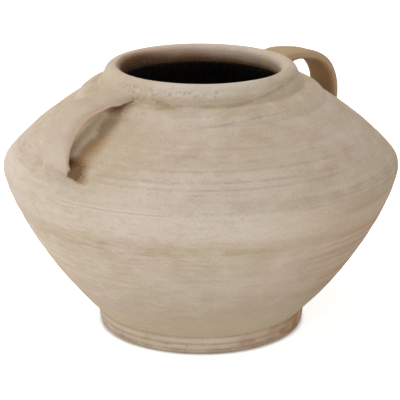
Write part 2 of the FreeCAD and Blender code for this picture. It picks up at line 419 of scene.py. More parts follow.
def crossing(height, inner=False):
    """The place on the line where it crosses a height."""
    above = clay_line[:, 1] - height
    changes = np.nonzero(above[:-1] * above[1:] < 0.0)[0]
    index = changes[-1 if inner else 0]
    return index + above[index] / (above[index] - above[index + 1])


def stretch(start, end, spacing):
    """Rows of radius, height and way in between two places on the line."""
    count = max(2, round(abs(end - start) * STEP / spacing)) + 1
    places = np.linspace(start, end, count)
    numbers = np.arange(len(clay_line))
    radius = np.interp(places, numbers, clay_line[:, 0])
    height = np.interp(places, numbers, clay_line[:, 1])
    way_in = np.maximum(places - CREST, 0.0) * STEP
    return np.stack([radius, height, way_in], axis=1)


def outline_mesh(name, rows):
    """A mesh of loose points, one to a row, for the turning tree."""
    mesh = bpy.data.meshes.new(name)
    mesh.from_pydata([(r, 0.0, z) for r, z, _ in rows], [], [])
    way = mesh.attributes.new("way_in", "FLOAT", "POINT")
    way.data.foreach_set("value", [float(row[2]) for row in rows])
    return mesh


def turning_tree():
    """Turns an outline round the axis and gives it the marks of the hand."""
    graph, wire = new_tree("thrown_clay", {
        "Int": ("Segments",),
        "Float": (
            "Ring Pitch", "Ring Depth", "Dent Size", "Dent Depth", "Sway", "Fullness",
            "Widest", "Foot", "Keel", "Rim Drop", "Rim Low", "Rim High", "Seed",
        ),
        "Material": ("Material",),
    })
    outline = wire["Geometry"]
    values = {"Geometry": outline}
    rows = graph.add("GeometryNodeAttributeDomainSize", values, component="MESH")
    grid, column, row = grid_of(graph, wire["Segments"] + 1.0, rows + 1.0)
    row = row % rows

    def of_row(kind, value):
        values = {"Geometry": outline, "Value": value, "Index": row}
        return graph.add("GeometryNodeSampleIndex", values, data_type=kind)

    place = graph.add("GeometryNodeInputPosition", {})
    radius, _, height = of_row("FLOAT_VECTOR", place).parts()
    way = graph.add("GeometryNodeInputNamedAttribute", {"Name": "way_in"})
    way = of_row("FLOAT", way)
    turn = (column % wire["Segments"]) * (2.0 * math.pi) / wire["Segments"]
    cosine = turn.math("COSINE", turn)
    sine = turn.math("SINE", turn)
    round_the_pot = graph.vector(radius * cosine, radius * sine, height)

    thrown = graph.vector(RING_WANDER, RING_WANDER, 1.0 / wire["Ring Pitch"])
    rings = graph.noise(round_the_pot, thrown, 1.0, wire["Seed"])
    dents = dented(graph, wire, round_the_pot, wire["Seed"] + 7.0)
    lobes = 0.5 - turn.math("COSINE", turn * LOBES + LOBE_TURN) * 0.5
    keel = wire["Keel"]
    full = graph.rise(height, wire["Foot"], wire["Foot"] + SWELL_START)
    full = full * graph.rise(keel - height, 0.0, SWELL_END)
    tight = graph.bell(height, keel, KEEL_BAND)
    marks = (rings - 0.5) * wire["Ring Depth"] + (dents - 0.5) * wire["Dent Depth"]
    inwards = marks + (lobes + tight) * wire["Sway"] - full * wire["Fullness"]
    radius = (radius - inwards).math("MINIMUM", radius - inwards, wire["Widest"])
    low_side = 0.5 + turn.math("COSINE", turn - RIM_LOW_TURN) * 0.5
    top = graph.rise(height, wire["Rim Low"], wire["Rim High"])
    height = height - low_side * top * wire["Rim Drop"]
    moved = graph.vector(radius * cosine, radius * sine, height)
    skin = sewn(graph, graph.store(grid, "way_in", "FLOAT", way), moved)
    return finished(graph, skin, wire["Material"])


SIDE_BLUNTNESS = 0.78  # of a strap's section: 1 is round, and 0 square
FACE_BLUNTNESS = 0.72
WAIST = 0.96  # width of a strap's middle, as a share
END_SPREAD = 0.06  # how much wider its ends are
BEND_SHARE = 0.6  # where the bend lies along it
FREE_SHARE = 0.35  # how far from its middle it never touches the pot
SMEARED_SHARE = 0.7  # and how far out it can be smeared fully


def strap_tree():
    """Sweeps a pulled strap along a line and smears its ends onto the pot."""
    graph, wire = new_tree("pulled_strap", {
        "Object": ("Pot",),
        "Vector": ("Across",),
        "Int": ("Stations", "Points Around"),
        "Float": (
            "Width", "Thickness", "Root Slimness", "Belly", "Groove", "Root Side",
            "Root Above", "Root Below", "Tail Side", "Tail Above", "Tail Below",
            "Root Smear", "Tail Smear Out", "Tail Smear In", "Sunk", "Dent Size",
            "Dent Depth", "Seed",
        ),
        "Material": ("Material",),
    })
    stations = wire["Stations"]
    around = wire["Points Around"]
    grid, station, number = grid_of(graph, stations + 1.0, around + 1.0)
    curve = graph.add("GeometryNodeMeshToCurve", {"Mesh": wire["Geometry"]})
    share = graph.limit((station - 1.0) / (stations - 2.0))
    values = {"Curves": curve, "Factor": share}
    centre = graph.add("GeometryNodeSampleCurve", values, "Position", mode="FACTOR")
    along = graph.add("GeometryNodeSampleCurve", values, "Tangent", mode="FACTOR")
    across = wire["Across"]
    outward = along.math("CROSS_PRODUCT", along, across).unit()

    turn = (number % around) * (-2.0 * math.pi) / around
    cosine = turn.math("COSINE", turn)
    sine = turn.math("SINE", turn)
    flat = cosine.math("SIGN", cosine) * abs(cosine) ** SIDE_BLUNTNESS
    tall = sine.math("SIGN", sine) * abs(sine) ** FACE_BLUNTNESS
    upper = tall * 0.5 + 0.5
    middle = 1.0 - graph.limit(flat * flat)
    hollow = upper * middle * middle * wire["Groove"]
    ends = abs(share - 0.5) * 2.0
    width = wire["Width"] * (WAIST + END_SPREAD * ends * ends)
    slim = graph.rise(BEND_SHARE - share, 0.0, 0.5) * wire["Root Slimness"]
    thick = wire["Thickness"] - slim
    belly = (1.0 - upper) * graph.bell(share, BEND_SHARE, 0.35) * wire["Belly"]
    lift = (tall * thick + slim) * 0.5 - hollow - belly
    tube = centre + across * (flat * width * 0.5) + outward * lift

    pot = graph.add("GeometryNodeObjectInfo", {"Object": wire["Pot"]}, "Geometry")
    true_normal = graph.add("GeometryNodeInputNormal", {}, "Normal")

    def nearest(where):
        """The nearest point of the pot's outside, and the way out there."""
        values = {0: pot, 2: where}
        point = graph.add("GeometryNodeProximity", values, "Position", target_element="FACES")
        values = {"Mesh": pot, "Value": true_normal, "Sample Position": where}
        kind = "GeometryNodeSampleNearestSurface"
        return point, graph.add(kind, values, data_type="FLOAT_VECTOR")

    at_root = share < 0.5
    at_tail = 1.0 - at_root
    lower = 1.0 - upper
    outer = upper * upper * upper
    tail_smear = outer * wire["Tail Smear Out"] + (1.0 - outer) * wire["Tail Smear In"]
    smear = at_root * wire["Root Smear"] + at_tail * tail_smear
    foot, out = nearest(tube)
    gap = (tube - foot).dot(out)
    near = 1.0 - graph.limit(gap / smear)
    near = near * graph.rise(ends, FREE_SHARE, SMEARED_SHARE)
    curl = 1.0 - graph.limit(1.0 - near * near) ** 0.5
    side, over, under = [
        at_root * wire["Root " + label] + at_tail * wire["Tail " + label]
        for label in ("Side", "Above", "Below")
    ]
    spread = upper * over + lower * under
    flared = tube + across * (flat * side * curl) + outward * (tall * spread * curl)
    foot, out = nearest(flared)
    landed = foot - out * wire["Sunk"]
    hold = graph.rise(near, 0.0, 1.0)
    joined = flared * (1.0 - hold) + landed * hold
    dents = dented(graph, wire, joined, wire["Seed"])
    pressed = (0.5 - dents) * (1.0 - near) * wire["Dent Depth"]
    joined = joined + (tube - centre).unit() * pressed
    open_row = (station > 0.5) * (station < stations - 0.5)
    position = centre + (joined - centre) * open_row
    stored = (
        ("hold", "FLOAT", hold),
        ("pot_out", "FLOAT_VECTOR", out),
        ("under", "FLOAT", lower * (1.0 - hold)),
        ("outer", "FLOAT", upper),
    )
    for label, kind, value in stored:
        grid = graph.store(grid, label, kind, value)
    skin = sewn(graph, grid, position)
    return finished(graph, skin, wire["Material"])


# ---- materials ----
def shade(red, green, blue):
    """A colour as a paint maker reads it, from 0 to 255, as light."""
    levels = [value / 255.0 for value in (red, green, blue)]
    light = [
        level / 12.92 if level <= 0.04045 else ((level + 0.055) / 1.055) ** 2.4
        for level in levels
    ]
    return (*light, 1.0)


PINK_CLAY = shade(199, 181, 164)
KHAKI_SLIP = shade(190, 173, 146)
PALE_SLIP = shade(217, 204, 190)
TAN_CLAY = shade(174, 151, 124)
RED_CLAY = shade(168, 132, 104)
RIM_BROWN = shade(206, 167, 141)
RIM_RED = shade(156, 116, 88)
STRAP_TAN = shade(174, 143, 106)
# the orange tint of a strap's edge, and painted light on its lower side face
STRAP_EDGE_TINT_AND_LIGHT = shade(222, 192, 164)
# painted shade on the underside of a strap
STRAP_UNDERSIDE_SHADE = shade(156, 118, 72)
# painted light, laid on the pot in the shade just under the straps
UNDER_STRAP_LIGHT = shade(250, 237, 208)
# painted shadow: the brown of the band where a strap's shade falls on the pot
STRAP_SHADOW_BROWN = shade(202, 153, 93)
FOOT_RED = shade(161, 120, 81)
WARM_SLIP = shade(206, 190, 162)
OLIVE_STAIN = shade(152, 138, 104)
GROOVE_BROWN = shade(140, 121, 96)
# painted shade in the corners at the straps' ends and under the straps, and the colour of
# scratches and a small mark on the foot
SHADE_AND_MARK_BROWN = shade(104, 74, 44)
DARK_SPECK = shade(104, 86, 66)
# painted shade down the throat: red-brown, then brown, then near black
THROAT_BROWN = shade(112, 77, 50)
# painted shade inside the pot, and the colour of a small pit on the foot
SHADE_AND_PIT_BLACK = shade(24, 17, 14)

ROUGHNESS = 0.88
SHINE = 0.25
BUMP_DEPTH = 0.001
# directions from the axis, in degrees: where the outside is reddest, and where
# the throat shows most painted shade and least
RED_SIDE = -40.0
DARKEST_THROAT_SIDE = 165.0
LIGHTEST_THROAT_SIDE = -30.0
# areas of the wall: direction, half width and fade in degrees, and radius
PALE_FRONT = (-128.0, 18.0, 16.0, 0.150)
PALE_FLANK = (-152.0, 24.0, 26.0, 0.130)
DABBED_SIDE = (-165.0, 30.0, 25.0, 0.150)
SCORED_KEEL = (-155.0, 12.0, 5.0, 0.168)
LINED_KEEL = (-76.0, 20.0, 14.0, 0.166)
LINED_SHOULDER = (-122.0, 30.0, 20.0, 0.150)
LINED_COLLAR = (-108.0, 24.0, 14.0, 0.115)
BRIGHT_LIP = (-124.0, 22.0, 24.0, 0.080)
OLIVE_NECK = (-112.0, 42.0, 14.0, 0.086)
OLIVE_BLOT = (-160.0, 9.0, 7.0, 0.088)
STAINED_NECK = (-161.0, 2.0, 4.0, 0.085)
SCUFFED_LIP = (-148.0, 26.0, 12.0, 0.084)
SCRATCHED_FOOT = (-157.0, 9.0, 5.0, 0.090)
POOL = (-0.127, -0.040, 0.183)  # middle of a khaki pool beside the left strap
SCORE = 0.1490  # heights of lines that a tool left
KEEL_LINES = (0.1555, 0.1537, 0.1520, 0.1482)
SHOULDER_LINES = (0.1772, 0.1702, 0.1660)
COLLAR_LINE = 0.2030
NECK_LINES = ((0.2150, 0.55), (0.2185, 0.2))  # with the strength of each
FOOT_LINES = (0.0163, 0.0099, 0.0045)


class Clay:
    """Unglazed clay under a thin slip, its colour built up coat by coat."""

    def __init__(self, name):
        self.material = bpy.data.materials.new(name)
        self.material.use_nodes = True
        tree = self.material.node_tree
        self.surface = tree.nodes["Principled BSDF"]
        self.graph = Graph(tree)
        graph = self.graph
        self.at = graph.add("ShaderNodeTexCoord", {}, "Object")
        self.x, self.y, self.z = self.at.parts()
        self.cloud = graph.noise(self.at, (9.0, 9.0, 15.0), 3.0, 1.0)
        self.bands = graph.noise(self.at, (3.0, 3.0, 85.0), 3.0, 2.0)
        self.streaks = graph.noise(self.at, (9.0, 9.0, 330.0), 3.0, 3.0)
        self.hairs = graph.noise(self.at, (20.0, 20.0, 1000.0), 2.0, 4.0)
        self.mottle = graph.noise(self.at, (60.0, 60.0, 95.0), 4.0, 5.0)
        self.grain = graph.noise(self.at, (620.0, 620.0, 620.0), 3.0, 6.0)
        self.relief = 0.0
        rise = graph.rise
        self.colour = graph.blend(rise(self.cloud, 0.38, 0.62), PINK_CLAY, KHAKI_SLIP)
        self.coat(rise(self.bands, 0.5, 0.72) * 0.5, KHAKI_SLIP)
        self.coat(rise(0.5 - self.bands, 0.0, 0.2) * 0.35, PALE_SLIP)
        self.coat(rise(self.mottle, 0.5, 0.7) * 0.35, TAN_CLAY)
        self.coat(rise(0.48 - self.mottle, 0.0, 0.2) * 0.4, PALE_SLIP)

    def coat(self, mask, colour):
        """Lays a colour over the others, as thick as the mask."""
        self.colour = self.graph.blend(mask, self.colour, colour)

    def towards(self, degrees):
        """How far a place lies from the axis in one direction, in metres."""
        turn = math.radians(degrees)
        return self.x * math.cos(turn) + self.y * math.sin(turn)

    def within(self, area):
        """1 in an area of the wall, falling to 0 over its fade."""
        degrees, half, fade, radius = area
        outer = radius * math.cos(math.radians(half + fade))
        inner = radius * math.cos(math.radians(half))
        return self.graph.rise(self.towards(degrees), outer, inner)

    def dot_at(self, degrees, radius, height, size, colour):
        """One small round mark."""
        turn = math.radians(degrees)
        place = (radius * math.cos(turn), radius * math.sin(turn), height)
        off = (self.at - place).length() + (self.grain - 0.5) * size
        self.coat((1.0 - self.graph.rise(off, size * 0.4, size)) * 0.85, colour)

    def brush(self):
        """Fine lines that the wheel and the brush leave in the slip."""
        rise = self.graph.rise
        patchy = 0.45 + rise(self.mottle, 0.35, 0.65) * 0.55
        self.coat(rise(self.streaks, 0.50, 0.76) * patchy * 0.35, TAN_CLAY)
        self.coat(rise(0.46 - self.streaks, 0.0, 0.2) * patchy * 0.35, PALE_SLIP)
        self.coat(rise(self.hairs, 0.54, 0.78) * patchy * 0.25, GROOVE_BROWN)

    def sand(self):
        """Grains and small pits."""
        rise = self.graph.rise
        self.coat(rise(self.grain, 0.52, 0.72) * 0.35, TAN_CLAY)
        self.coat(rise(0.46 - self.grain, 0.0, 0.18) * 0.26, PALE_SLIP)
        values = {"Vector": self.at * 330.0, "Scale": 1.0}
        near = self.graph.add("ShaderNodeTexVoronoi", values)
        tone = self.graph.add("ShaderNodeTexVoronoi", values, "Color")
        chance = Arrow(self.graph, tone.socket).parts()[0]
        gathered = 0.985 - rise(self.cloud, 0.45, 0.65) * 0.035
        self.pits = rise(0.2 - near, 0.0, 0.12) * (chance > gathered)
        self.coat(self.pits * 0.5, DARK_SPECK)

    def line(self, centre, half, mask, colour, strength):
        """A thin level line, dark or pale, with a slightly broken edge."""
        broken = 0.4 + self.graph.rise(self.mottle * 0.6 + self.grain * 0.4, 0.4, 0.56) * 0.6
        self.coat(self.graph.bell(self.z, centre, half) * broken * mask * strength, colour)

    def fact(self, name):
        """A number that the mesh carries at each of its points."""
        return self.graph.add("ShaderNodeAttribute", {}, "Fac", attribute_name=name)

    def finish(self):
        """Connects what the coats have made to the surface."""
        graph = self.graph
        graph.feed(self.surface.inputs["Base Color"], self.colour)
        rough = ROUGHNESS + (self.mottle - 0.5) * 0.14 + (self.grain - 0.5) * 0.1
        graph.feed(self.surface.inputs["Roughness"], rough)
        self.surface.inputs["Specular IOR Level"].default_value = SHINE
        height = (
            self.grain * 0.35 + self.streaks * 0.25 + self.hairs * 0.15
            + self.bands * 0.2 - self.pits * 0.35 + self.relief * 0.5
        )
        values = {"Strength": 1.0, "Distance": BUMP_DEPTH, "Height": height}
        bump = graph.add("ShaderNodeBump", values)
        graph.feed(self.surface.inputs["Normal"], bump)
        return self.material


def paint_wall(clay):
    """The marks of the keel, the bowl and the shoulder."""
    graph, coat, z = clay.graph, clay.coat, clay.z
    rise = graph.rise
    wave = (clay.mottle - 0.5) * 0.010 + (clay.cloud - 0.5) * 0.016
    ragged = (clay.streaks - 0.5) * 0.012 + (clay.cloud - 0.5) * 0.03
    red_side = clay.towards(RED_SIDE)
    pale = rise(z + wave, 0.1185, 0.1315) * rise(0.164 - z - ragged, 0.0, 0.018)
    dull = rise(red_side, 0.07, 0.14) * 0.5 + rise(clay.towards(180.0), 0.12, 0.165) * 0.1
    coat(pale * (0.62 - dull), PALE_SLIP)
    centre = clay.within(PALE_FRONT)
    coat(centre * rise(z, 0.155, 0.165) * rise(0.19 - z, 0.0, 0.02) * 0.45, PALE_SLIP)
    low = rise(0.112 - z, 0.0, 0.09)
    coat(low * 0.15, KHAKI_SLIP)
    flank = clay.within(PALE_FLANK) * rise(0.116 - z, 0.0, 0.02)
    coat(flank * 0.25, PALE_SLIP)
    coat(rise(0.052 - z, 0.0, 0.027) * 0.85, WARM_SLIP)
    strokes = graph.noise(clay.at, (45.0, 45.0, 620.0), 2.0, 9.0)
    struck = graph.bell(z, 0.116, 0.016) + graph.bell(z, 0.172, 0.022) * 0.7
    struck = struck * (1.0 - rise(red_side, 0.02, 0.09)) * rise(clay.mottle, 0.4, 0.6)
    coat(struck * rise(strokes, 0.56, 0.68) * 0.5, GROOVE_BROWN)
    turned = rise(red_side + (clay.cloud - 0.5) * 0.05, 0.03, 0.15)
    below = rise(0.158 - z + wave, 0.0, 0.012)
    coat(turned * below * 0.75, TAN_CLAY)
    coat(turned * (1.0 - below) * 0.25, TAN_CLAY)
    olive = graph.bell(z + wave, 0.137, 0.012) * rise(red_side, 0.09, 0.135)
    coat(olive * rise(clay.bands, 0.42, 0.6) * 0.4, OLIVE_STAIN)
    red = rise(red_side, 0.07, 0.13) * rise(0.122 - z, 0.0, 0.012)
    coat(red * rise(clay.bands * 0.6 + clay.streaks * 0.4, 0.47, 0.6) * 0.7, RED_CLAY)
    pool = (clay.at - POOL).length() + (clay.mottle - 0.5) * 0.05
    coat((1.0 - rise(pool, 0.014, 0.055)) * 0.75, KHAKI_SLIP)
    spots = graph.noise(clay.at, (80.0, 80.0, 300.0), 3.0, 12.0)
    dabbed = 0.3 + clay.within(DABBED_SIDE) * 0.5
    coat(dabbed * rise(spots, 0.52, 0.66) * 0.3, TAN_CLAY)
    coat(dabbed * rise(0.47 - spots, 0.0, 0.12) * 0.3, PALE_SLIP)
    drift = (clay.bands - 0.5) * 0.0012
    score = drift + SCORE
    left = clay.within(SCORED_KEEL)
    clay.line(score + 0.0013, 0.0012, left, PALE_SLIP, 1.0)
    clay.line(score - 0.0013, 0.0012, left, PALE_SLIP, 0.8)
    clay.line(score, 0.0009, left, GROOVE_BROWN, 0.2)
    right = clay.within(LINED_KEEL)
    for height in KEEL_LINES:
        clay.line(drift * 2.0 + height, 0.0012, right, GROOVE_BROWN, 0.22)
    front = clay.within(LINED_SHOULDER)
    for height in SHOULDER_LINES:
        clay.line(drift * 3.0 + height, 0.0016, front, GROOVE_BROWN, 0.22)
    climb = rise(red_side, -0.005, 0.06) * 0.0055
    collar = clay.within(LINED_COLLAR)
    clay.line(climb + COLLAR_LINE, 0.0014, collar, GROOVE_BROWN, 0.3)
    clay.relief = clay.relief - graph.bell(z, score, 0.0012) * left * 0.12


def paint_neck(clay):
    """Olive stains in the neck's crease and scuffs on the lip's face."""
    graph, coat, z = clay.graph, clay.coat, clay.z
    rise = graph.rise
    red_side = clay.towards(RED_SIDE)
    climb = rise(red_side, 0.02, 0.09) * 0.0105
    lip = rise(z + (clay.cloud - 0.5) * 0.004, 0.2195, 0.2240)
    bright = 0.28 + clay.within(BRIGHT_LIP) * 0.32
    coat(lip * (bright - rise(red_side, 0.0, 0.06) * 0.2), PALE_SLIP)
    front = clay.within(OLIVE_NECK)
    for height, strength in NECK_LINES:
        clay.line(climb + height, 0.0026, front, OLIVE_STAIN, strength)
    near = clay.within(SCUFFED_LIP)
    blot = graph.bell(z, 0.2158, 0.0045) * clay.within(OLIVE_BLOT)
    coat(blot * rise(clay.mottle, 0.42, 0.6) * 0.8, OLIVE_STAIN)
    scraped = graph.noise(clay.at, (230.0, 230.0, 330.0), 2.0, 10.0)
    stain = clay.within(STAINED_NECK) * graph.bell(z, 0.2205, 0.0085)
    coat(stain * rise(scraped, 0.44, 0.58) * 0.5, GROOVE_BROWN)
    scuffs = graph.bell(z + (clay.mottle - 0.5) * 0.004, 0.2240, 0.0055) * near
    coat(scuffs * rise(scraped, 0.51, 0.63) * 0.4, GROOVE_BROWN)
    coat(scuffs * rise(0.46 - scraped, 0.0, 0.08) * 0.5, PALE_SLIP)
    clay.relief = clay.relief - scuffs * scraped * 0.6


def paint_foot(clay):
    """The tooled rings of the foot and its redder, worn side."""
    graph, coat, z = clay.graph, clay.coat, clay.z
    rise = graph.rise
    red_side = clay.towards(RED_SIDE)
    band = rise(0.0152 - z, 0.0, 0.0012)
    coat(rise(z, 0.0135, 0.0160) * 0.6, KHAKI_SLIP)
    coat(band * 0.3, PINK_CLAY)
    coat(graph.bell(z, 0.0130, 0.0022) * 0.45, PALE_SLIP)
    coat(graph.bell(z, 0.0075, 0.0020) * 0.25, PALE_SLIP)
    worn = rise(clay.mottle * 0.7 + clay.bands * 0.3 - z * 8.0, 0.40, 0.56)
    coat(worn * band * 0.3, FOOT_RED)
    turned = rise(red_side + (clay.mottle - 0.5) * 0.04, 0.015, 0.085)
    coat(turned * (0.6 + rise(clay.mottle, 0.4, 0.6) * 0.4), FOOT_RED)
    for height in FOOT_LINES:
        clay.line(height, 0.0013, 1.0, GROOVE_BROWN, 0.5)
    scratched = clay.within(SCRATCHED_FOOT) * graph.bell(z, 0.0065, 0.004)
    coat(scratched * rise(clay.streaks, 0.5, 0.62) * 0.8, SHADE_AND_MARK_BROWN)
    clay.dot_at(-137.6, 0.0905, 0.0080, 0.0012, SHADE_AND_PIT_BLACK)
    clay.dot_at(-152.0, 0.0905, 0.0080, 0.0009, SHADE_AND_MARK_BROWN)


def paint_strap_shade_and_light(clay):
    """Painted shade beside the straps: a brown shadow band with sandy grain, darkest at their
    ends; and painted light: a pale coat on the pot under them.
    """
    graph, coat, z = clay.graph, clay.coat, clay.z
    rise = graph.rise
    off = abs(clay.y)
    away = off + (clay.mottle - 0.5) * 0.010
    side = rise(0.199 - z, 0.0, 0.008) * 0.0055 + rise(0.172 - z, 0.0, 0.008) * 0.006
    side = side + 0.0125
    lowest = 0.1605 + rise(0.040 - off, 0.0, 0.020) * 0.003
    lowest = lowest + rise(0.0185 - off, 0.0, 0.004) * 0.005
    arch = rise(z - lowest, 0.0, 0.0025) * rise(0.216 - z, 0.0, 0.003)
    # painted light: a pale coat on the pot just under the strap, where the strap's shade
    # falls
    lit_under = rise(z, 0.166, 0.176) * rise(0.211 - z, 0.0, 0.008)
    coat(rise(side - away, 0.0, 0.008) * lit_under * (1.0 - clay.fact("hold")), UNDER_STRAP_LIGHT)
    low = rise(0.1800 - z, 0.0, 0.010)
    ends = rise(z, 0.203, 0.212) * 0.6 + low
    far = 1.0 - rise(clay.y, -0.004, 0.004) * 0.9
    far = far * (1.0 - rise(clay.fact("outer"), 0.5, 0.8))
    # painted shadow: a brown band where the strap's shade falls beside it, with sandy grain
    # in it
    band = rise(away - side + 0.010 + low * 0.012, 0.0, 0.009)
    band = band * rise(side + 0.019 - away, 0.0, 0.017) * arch * far
    sandy = (clay.grain - 0.5) * 1.2 * rise(band, 0.02, 0.4)
    thick = 0.36 + rise(0.196 - z, 0.0, 0.014) * 0.28 + ends * 0.2
    coat(graph.limit(band * thick + sandy * 0.8), STRAP_SHADOW_BROWN)
    # painted shade: darker still at the strap's two ends, in the corners where it meets the
    # pot
    coat(graph.limit(band * ends * 1.5 + sandy * ends) * 0.9, SHADE_AND_MARK_BROWN)


def paint_strap(clay):
    """Pinker at one side of the pot and tanner at the other, with painted shade on its
    underside, a painted lighter band on its lower side face, and the pot's own colours where
    it lands.
    """
    graph, coat, bare = clay.graph, clay.coat, clay.colour
    rise = graph.rise
    paint_wall(clay)
    paint_neck(clay)
    paint_strap_shade_and_light(clay)
    landing = clay.colour
    clay.colour = bare
    low_side = clay.fact("under")
    under = rise(low_side, 0.5, 0.95)
    turned = rise(clay.x, -0.05, 0.05)
    coat(0.15 + turned * 0.7, STRAP_TAN)
    coat((1.0 - turned) * 0.45, PINK_CLAY)
    coat((1.0 - turned) * rise(0.2 - clay.z, 0.0, 0.02) * 0.35, PALE_SLIP)
    # partly the strap edge's own orange tint, partly painted light: lighter on the lower side
    # face, which turns away from the light
    coat(graph.bell(low_side, 0.48, 0.36) * (1.0 - turned) * 0.55, STRAP_EDGE_TINT_AND_LIGHT)
    # painted shade: browner on the strap's underside, where shade falls
    coat(under * (1.0 - turned) * 0.4, SHADE_AND_MARK_BROWN)
    coat(under * turned * 0.5, STRAP_UNDERSIDE_SHADE)
    coat(rise(clay.fact("hold"), 0.4, 0.95), landing)


def paint_inside(clay):
    """Painted shade: brown down the throat and near black below it, where the inside lies in
    shade.
    """
    rise, coat = clay.graph.rise, clay.coat
    way = clay.fact("way_in")
    past_crest = rise(way, 0.0, 0.003)
    wavy = (clay.bands - 0.5) * 0.008 + (clay.mottle - 0.5) * 0.003
    streaked = way + wavy * past_crest
    # the painted shade starts higher up the throat on one side and lower on the other
    deep_shade = rise(clay.towards(DARKEST_THROAT_SIDE), -0.01, 0.05)
    turned = rise(clay.towards(LIGHTEST_THROAT_SIDE), 0.0, 0.05)
    down = streaked + (deep_shade * 0.007 - turned * 0.002) * past_crest
    coat(rise(streaked, 0.0, 0.007) * (0.5 - turned * 0.5), RIM_BROWN)
    coat(rise(down, 0.005, 0.013) * (0.5 + deep_shade * 0.25 - turned * 0.35), RIM_RED)
    coat(rise(down, 0.0085, 0.0165), THROAT_BROWN)
    coat(rise(down, 0.0125, 0.0280), SHADE_AND_PIT_BLACK)


def painted(name, *layers):
    """A clay with the layers between its brush lines and its sand."""
    clay = Clay(name)
    clay.brush()
    for layer in layers:
        layer(clay)
    clay.sand()
    return clay.finish()


body_clay = painted("slipped_body_clay", paint_wall, paint_strap_shade_and_light, paint_inside)
neck_clay = painted("slipped_neck_clay", paint_wall, paint_neck, paint_strap_shade_and_light, paint_inside)
foot_clay = painted("tooled_foot_clay", paint_foot)
handle_clay = painted("pulled_handle_clay", paint_strap)
# painted shade: the pot's inside floor, coated near black
floor_clay = painted("painted_shade_floor_clay", lambda clay: clay.coat(0.85, SHADE_AND_PIT_BLACK))


# ---- the body ----
def ring_rows(spacing, bottom, top):
    """The outline of a wall between two joint heights."""
    outer = stretch(crossing(bottom), crossing(top), spacing)
    inner_low = END if bottom == FOOT_HEIGHT else crossing(bottom, True)
    inner = stretch(crossing(top, True), inner_low, INNER_SPACING)
    return np.concatenate([outer, inner])


foot_rows = np.concatenate([
    stretch(0, crossing(FOOT_HEIGHT), FOOT_SPACING),
    [(FLOOR_RADIUS, FOOT_HEIGHT, 0.0), (FLOOR_RADIUS, FLOOR_LOW, 0.0)],
])
bowl_rows = ring_rows(OUTER_SPACING, FOOT_HEIGHT, KEEL_HEIGHT)
shoulder_rows = ring_rows(OUTER_SPACING, KEEL_HEIGHT, COLLAR_HEIGHT)
collar_rows = ring_rows(COLLAR_SPACING, COLLAR_HEIGHT, NECK_HEIGHT)
lip_rows = stretch(crossing(NECK_HEIGHT), crossing(NECK_HEIGHT, True), COLLAR_SPACING)
BODY = {
    "foot_ring": (foot_rows, foot_clay, "foot_clay"),
    "lower_bowl": (bowl_rows, body_clay, "body_clay"),
    "upper_shoulder": (shoulder_rows, body_clay, "body_clay"),
    "neck_collar": (collar_rows, neck_clay, "body_clay"),
    "neck_and_lip": (lip_rows, neck_clay, "lip_clay"),
}

turning = turning_tree()
skins = {}
for node, (rows, material, slot) in BODY.items():
    outline = outline_mesh(node + "_outline", rows)
    skins[node] = made("thrown_" + node, outline, turning, {
        "Segments": SEGMENTS,
        "Ring Pitch": 0.009,
        "Ring Depth": 0.0012,
        "Dent Size": 0.05,
        "Dent Depth": 0.0020,
        "Sway": 0.0003,
        "Fullness": 0.0012,
        "Widest": KEEL_RADIUS - 0.00005,
        "Foot": FOOT_HEIGHT,
        "Keel": KEEL_HEIGHT,
        "Rim Drop": 0.0004,
        "Rim Low": NECK_HEIGHT + 0.002,
        "Rim High": POT_HEIGHT,
        "Seed": 3.0,
        "Material": material,
    })


def numbers_of(items, name, width=1, kind=float):
    """A number, or a row of them, from each vertex, corner or face of a mesh."""
    numbers = np.empty(len(items) * width, dtype=kind)
    items.foreach_get(name, numbers)
    return numbers if width == 1 else numbers.reshape(-1, width)


def corner_table(mesh):
    """Vertex and face number of every face corner, and the size of every face."""
    vertices = numbers_of(mesh.loops, "vertex_index", kind=np.int64)
    sizes = numbers_of(mesh.polygons, "loop_total", kind=np.int64)
    return vertices, np.repeat(np.arange(len(sizes)), sizes), sizes


def joint_faces(mesh):
    """True for each hidden face where two lumps of clay meet."""
    vertices, _, sizes = corner_table(mesh)
    heights = numbers_of(mesh.vertices, "co", 3)[vertices, 2]
    starts = np.concatenate([[0], np.cumsum(sizes)[:-1]])
    lowest = np.minimum.reduceat(heights, starts)
    highest = np.maximum.reduceat(heights, starts)
    flat = np.zeros(len(sizes), dtype=bool)
    for level in JOINTS:
        flat |= (abs(lowest - level) < TOUCHING) & (abs(highest - level) < TOUCHING)
    return flat


def share_normals(pieces):
    """Gives pieces that meet the same smooth shading on both sides of a joint."""
    meshes = [piece.data for piece in pieces]
    places = np.concatenate([numbers_of(mesh.vertices, "co", 3) for mesh in meshes])
    keys = np.round(places * STEPS_TO_THE_METRE).astype(np.int64)
    _, shared = np.unique(keys, axis=0, return_inverse=True)
    ends = np.cumsum([len(mesh.vertices) for mesh in meshes])[:-1]
    sums = np.zeros((shared.max() + 1, 3))
    corners = []
    for mesh, numbers in zip(meshes, np.split(shared.reshape(-1), ends)):
        vertices, faces, _ = corner_table(mesh)
        flat = joint_faces(mesh)
        normals = numbers_of(mesh.polygons, "normal", 3)
        areas = np.where(flat, 0.0, numbers_of(mesh.polygons, "area"))
        np.add.at(sums, numbers[vertices], (normals * areas[:, None])[faces])
        corners.append((mesh, numbers[vertices], flat[faces][:, None], normals[faces]))
    lengths = np.linalg.norm(sums, axis=1, keepdims=True)
    smooth = sums / np.maximum(lengths, 1e-12)
    for mesh, numbers, flat, normals in corners:
        own = np.where(flat, normals, smooth[numbers])
        mesh.normals_split_custom_set(own.tolist())


share_normals(list(skins.values()))


